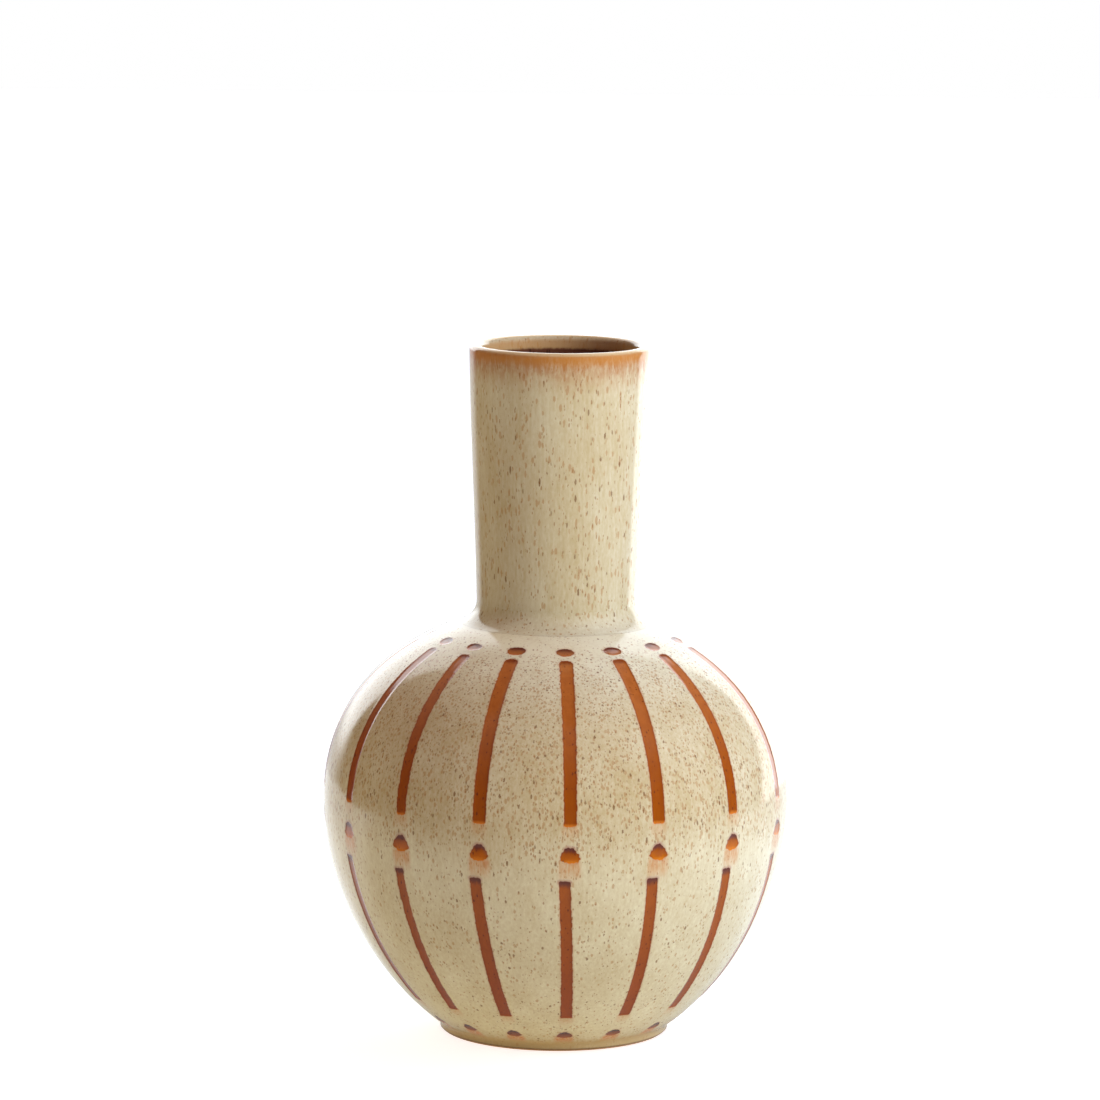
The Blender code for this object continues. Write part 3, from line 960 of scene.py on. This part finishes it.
def amber_material(name, upper, lower, cap, cap_length, tail, tail_length, halo):
    """Amber glaze pooled in a pressed hollow, inside the cream glaze that its patch carries.
    Cap colours the first cap_length mm below its top and tail the last tail_length mm. Halo is how
    far its top edge has clouded the cream."""
    made, n = new_material(name)
    base, vector, dark = cream(n, PALE, TAN, 0.5)
    base = run_colour(n, base, vector)
    edge, from_top, from_foot = n.attribute("edge"), n.attribute("from_top"), n.attribute("from_foot")
    fray = n.noise(vector, 1.1, 4.0, 0.65)
    edge = n.plus(edge, n.swing(fray, 0.75))
    run = n.noise(n.scaled(vector, (1.0, 1.0, 0.3)), 0.9, 3.0, 0.6)
    uneven = n.swing(run, 2.6)
    span = n.math("DIVIDE", from_top, n.plus(n.plus(from_top, from_foot), 0.01))
    colour = n.mix(n.step(n.plus(span, n.times(uneven, 0.06)), 0.05, 0.85), upper, lower)
    cloud = n.noise(vector, 0.35, 4.0, 0.65)
    colour = n.mix(n.step(cloud, 0.35, 0.75, 0.0, 0.3), colour, AMBER_CLOUD)
    rim = n.step(edge, 0.15, 1.0, 0.42, 0.0)
    colour = n.mix(rim, colour, AMBER_RIM)
    at_foot = n.step(n.plus(from_foot, n.times(uneven, 0.4)), 0.1, tail_length, 1.0, 0.0)
    colour = n.mix(at_foot, colour, tail)
    at_top = n.step(n.plus(from_top, uneven), cap_length * 0.25, cap_length, 0.92, 0.0)
    colour = n.mix(at_top, colour, cap)
    spots, _ = specks(n, vector, 0.75, 0.5, 0.33)
    colour = n.mix(n.times(spots, 0.62), colour, AMBER_SPECK)
    near_top = n.fade(from_top, -0.5, 2.8)
    cloudy = n.times(n.step(edge, -1.3, -0.05), n.times(near_top, halo))
    base = n.mix(cloudy, base, HALO)
    blush = n.times(n.step(edge, -0.9, 0.0), 0.3)
    base = n.mix(blush, base, AMBER_BLUSH)
    colour = n.mix(n.step(edge, -0.14, 0.2), base, colour)
    return finish_glaze(made, n, colour, vector, dark)


# upper and lower colour, cap with its length in mm, tail with its length in mm, and halo
AMBERS = {
    "upper_strokes": (
        "amber_upper_stroke", linear(176, 104, 44), linear(150, 76, 4),
        linear(128, 62, 20), 3.6, linear(200, 118, 36), 1.8, 0.2,
    ),
    "waist_drops": (
        "amber_waist_drop", linear(128, 62, 16), linear(182, 100, 14),
        PURPLE, 3.0, linear(204, 122, 30), 2.0, 0.9,
    ),
    "lower_strokes": (
        "amber_lower_stroke", linear(156, 82, 24), linear(148, 72, 22),
        PURPLE, 4.0, linear(162, 90, 40), 0.8, 0.9,
    ),
    "shoulder_dots": (
        "amber_shoulder_dot", linear(116, 58, 30), linear(166, 96, 42),
        linear(96, 44, 26), 2.4, linear(186, 104, 44), 1.6, 0.1,
    ),
    "foot_dots": (
        "amber_foot_dot", linear(104, 60, 48), linear(136, 84, 60),
        linear(84, 48, 44), 3.2, linear(158, 98, 68), 1.6, 0.35,
    ),
}


# ---- the studio ----


AMBIENT = (0.082, 0.06, 0.095)
PANEL = (0.34, 0.34, 0.36)
BACK_RIGHT = (1.75, 1.95, 2.1)
BACK_LEFT = (2.6, 2.75, 2.8)
BACK_MIRRORED = (2.9, 3.05, 3.15)  # the same backdrop as the glaze mirrors it
BACK_MIRRORED_HIGH = (2.0, 2.1, 2.15)
FLOOR_GLOW = (0.62, 0.48, 0.28)
FLOOR_SEEN = 0.78
TABLE_GLOW = (0.34, 0.34, 0.32)
TABLE_FAR_GLOW = (1.2, 1.27, 1.3)
TABLE_TURNS_PALE = (-0.03, 0.13)  # metres behind the vase's axis
SHEETS = {
    # name: low corner, high corner, height, paleness, glow, seen glow, far glow
    "studio_floor": ((-6, -6), (6, 6), -0.3 * MM, 0.86, FLOOR_GLOW, FLOOR_SEEN, None),
    "table_top": ((-0.8, -0.27), (0.8, 0.75), -0.2 * MM, 0.1, TABLE_GLOW, None, TABLE_FAR_GLOW),
}
# where the light begins and ends, in degrees of azimuth from the front or of height
RIGHT_EDGE = 124.0
RIGHT_EDGE_LEAN = 0.56  # degrees of azimuth for each degree of height
RIGHT_EDGE_LOWEST = -20.0
LEFT_EDGE_LOW = (132.0, 148.0)
LEFT_EDGE_HIGH = (137.5, 141.5)
LEFT_EDGE_SHARPENS = (2.0, 9.0)
LEFT_DIM_BELOW = (-4.0, 6.0, 0.32)
RIGHT_DIM_BELOW = (-34.0, -10.0, 0.6)
LEFT_TOP = (43.0, 51.0)
RIGHT_TOP = (60.0, 66.0)
PANEL_RISE = (8.0, 60.0)
PANEL_TOP = (61.0, 63.5)
MIRRORED_TURNS_HIGH = (20.0, 42.0)
LAMPS = {
    # name: azimuth, elevation, distance, size, power in watts, colour
    "key_right": (62, 28, 1.6, (0.9, 1.1), 24.0, (0.96, 1.0, 1.0)),
    "key_side": (95, 15, 1.6, (0.9, 1.1), 9.4, (0.2, 0.36, 1.0)),
    "key_high": (40, 60, 1.6, (0.9, 0.9), 4.6, (1.0, 0.27, 0.05)),
    "fill_left": (-118, 20, 1.6, (0.8, 1.0), 6.4, (1.0, 0.62, 0.14)),
}


def studio_world():
    """Soft light by direction: white round the back, a pale panel high in front, dim elsewhere."""
    world = bpy.data.worlds.new("studio")
    bpy.context.scene.world = world
    world.use_nodes = True
    n = Nodes(world.node_tree)
    direction = n.add("ShaderNodeTexCoord").outputs["Generated"]
    x, y, z = n.add("ShaderNodeSeparateXYZ", {0: direction}).outputs
    degrees = 180 / math.pi
    side = n.times(n.math("ARCTAN2", x, n.times(y, -1.0)), degrees)
    rise = n.times(n.math("ARCSINE", z), degrees)
    right_edge = n.times(n.math("MAXIMUM", rise, RIGHT_EDGE_LOWEST), RIGHT_EDGE_LEAN)
    right_edge = n.plus(right_edge, RIGHT_EDGE)
    right = n.step(n.minus(side, right_edge), -1.0, 2.5)
    left_soft = n.step(n.times(side, -1.0), *LEFT_EDGE_LOW)
    left_sharp = n.step(n.times(side, -1.0), *LEFT_EDGE_HIGH)
    high = n.step(rise, *LEFT_EDGE_SHARPENS)
    left_low = n.times(left_soft, n.minus(1.0, high))
    left = n.plus(left_low, n.times(left_sharp, high))
    left = n.times(left, n.step(rise, *LEFT_DIM_BELOW))
    left = n.times(left, n.fade(rise, *LEFT_TOP))
    right = n.times(right, n.fade(rise, *RIGHT_TOP))
    right = n.times(right, n.step(rise, *RIGHT_DIM_BELOW))
    panel = n.times(n.step(rise, *PANEL_RISE), n.fade(rise, *PANEL_TOP))
    ray = n.add("ShaderNodeLightPath").outputs
    panel = n.times(panel, ray["Is Glossy Ray"])
    glow = n.mix(panel, AMBIENT, PANEL)
    mirrored = n.mix(n.step(rise, *MIRRORED_TURNS_HIGH), BACK_MIRRORED, BACK_MIRRORED_HIGH)
    glow = n.mix(left, glow, n.mix(ray["Is Glossy Ray"], BACK_LEFT, mirrored))
    glow = n.mix(right, glow, n.mix(ray["Is Glossy Ray"], BACK_RIGHT, mirrored))
    colour = n.mix(ray["Is Camera Ray"], glow, (1.0, 1.0, 1.0))
    background = n.add("ShaderNodeBackground", {"Color": colour, "Strength": 1.0})
    n.add("ShaderNodeOutputWorld", {"Surface": background.outputs[0]})


def emission_sheet(name, low, high, height, paleness, glow, seen_glow, far_glow):
    """A flat pale sheet of the studio, not part of the vase.
    The camera and soft light meet only a sheet with a seen glow, and only from above. The gloss
    mirrors only one without."""
    corners = [(low[0], low[1]), (high[0], low[1]), (high[0], high[1]), (low[0], high[1])]
    mesh = bpy.data.meshes.new(name)
    mesh.from_pydata([(x, y, height) for x, y in corners], [], [(0, 1, 2, 3)])
    made, n = new_material(name)
    colour = glow
    if seen_glow is not None:
        ray = n.add("ShaderNodeLightPath").outputs["Is Camera Ray"]
        colour = n.mix(ray, glow, (seen_glow,) * 3)
    if far_glow is not None:
        depth = n.add("ShaderNodeNewGeometry").outputs["Position"]
        depth = n.add("ShaderNodeSeparateXYZ", {0: depth}).outputs["Y"]
        colour = n.mix(n.step(depth, *TABLE_TURNS_PALE), glow, far_glow)
    inputs = {"Base Color": (paleness,) * 3, "Roughness": 0.9}
    inputs |= {"Emission Color": colour, "Emission Strength": 1.0}
    surface = n.add("ShaderNodeBsdfPrincipled", inputs).outputs[0]
    if seen_glow is not None:
        clear = n.add("ShaderNodeBsdfTransparent").outputs[0]
        from_below = n.add("ShaderNodeNewGeometry").outputs["Backfacing"]
        surface = n.add("ShaderNodeMixShader", {0: from_below, 1: surface, 2: clear}).outputs[0]
    n.add("ShaderNodeOutputMaterial", {"Surface": surface})
    mesh.materials.append(made)
    sheet = bpy.data.objects.new(name, mesh)
    bpy.context.scene.collection.objects.link(sheet)
    sheet.visible_camera = seen_glow is not None
    sheet.visible_diffuse = seen_glow is not None
    sheet.visible_glossy = seen_glow is None


def area_light(name, azimuth, elevation, distance, size, power, colour):
    """A soft light that looks at the middle of the vase. Azimuth 0 is the front and grows towards +X."""
    lamp = bpy.data.lights.new(name, "AREA")
    lamp.shape = "RECTANGLE"
    lamp.size, lamp.size_y = size
    lamp.energy = power
    lamp.color = colour
    holder = bpy.data.objects.new(name, lamp)
    bpy.context.scene.collection.objects.link(holder)
    a, e = math.radians(azimuth), math.radians(elevation)
    turn = Matrix.Rotation(a, 4, "Z") @ Matrix.Rotation(math.pi / 2 - e, 4, "X")
    aim = Matrix.Translation((0, 0, LIP_HEIGHT / 2))
    holder.matrix_world = aim @ turn @ Matrix.Translation((0, 0, distance))
    holder.visible_glossy = False
    holder.visible_camera = False


def studio():
    studio_world()
    for name, settings in SHEETS.items():
        emission_sheet(name, *settings)
    for name, settings in LAMPS.items():
        area_light(name, *settings)


CAMERA_PLACE = (0, -2.53, 0.579)
CAMERA_YAW_DEG = 0.0812
CAMERA_DOWN_DEG = 8.29
CAMERA_ROLL_DEG = 0.55
SENSOR_WIDTH = 36.0
FOCAL_LENGTH = 193.55
VIEW_END = 50.0


def camera():
    """The photograph's angle: a long lens 2.5 m in front, looking a little down."""
    lens = bpy.data.cameras.new("camera")
    lens.sensor_width = SENSOR_WIDTH
    lens.lens = FOCAL_LENGTH
    lens.clip_end = VIEW_END
    holder = bpy.data.objects.new("camera", lens)
    bpy.context.scene.collection.objects.link(holder)
    place = Matrix.Translation(CAMERA_PLACE)
    yaw = Matrix.Rotation(math.radians(CAMERA_YAW_DEG), 4, "Z")
    pitch = Matrix.Rotation(math.radians(90 - CAMERA_DOWN_DEG), 4, "X")
    roll = Matrix.Rotation(math.radians(CAMERA_ROLL_DEG), 4, "Z")
    holder.matrix_world = place @ yaw @ pitch @ roll
    bpy.context.scene.camera = holder
    bpy.context.scene.view_settings.view_transform = "Standard"


def inlays(kind):
    """The frame's own nodes of one kind of mark. The dots have none."""
    return sorted(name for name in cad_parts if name.startswith(kind[:-1]))


def build():
    lowest_stroke = min(mark.middle - mark.length * MM / 2 for mark in MARKS["upper_strokes"])
    split = lowest_stroke - SPLIT_BELOW_STROKE
    glaze = globe_material()
    pieces = [
        (globe_upper(glaze, split), ["belly"], "cream_glaze"),
        (globe_lower(glaze, split), ["belly"], "cream_glaze"),
        (neck(neck_material()), ["neck"], "neck_glaze"),
        (luting_bead(bead_material()), ["luting_bead"], "bead_glaze"),
        (clay_foot(clay_material()), ["foot_ring"], "foot_clay"),
    ]
    for kind, look in AMBERS.items():
        pieces.append((mark_piece(kind, amber_material(*look)), inlays(kind), "amber_glaze"))
    for piece, nodes, slot in pieces:
        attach(piece, "root")
        if nodes:
            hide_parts(*nodes)


build()
studio()
camera()
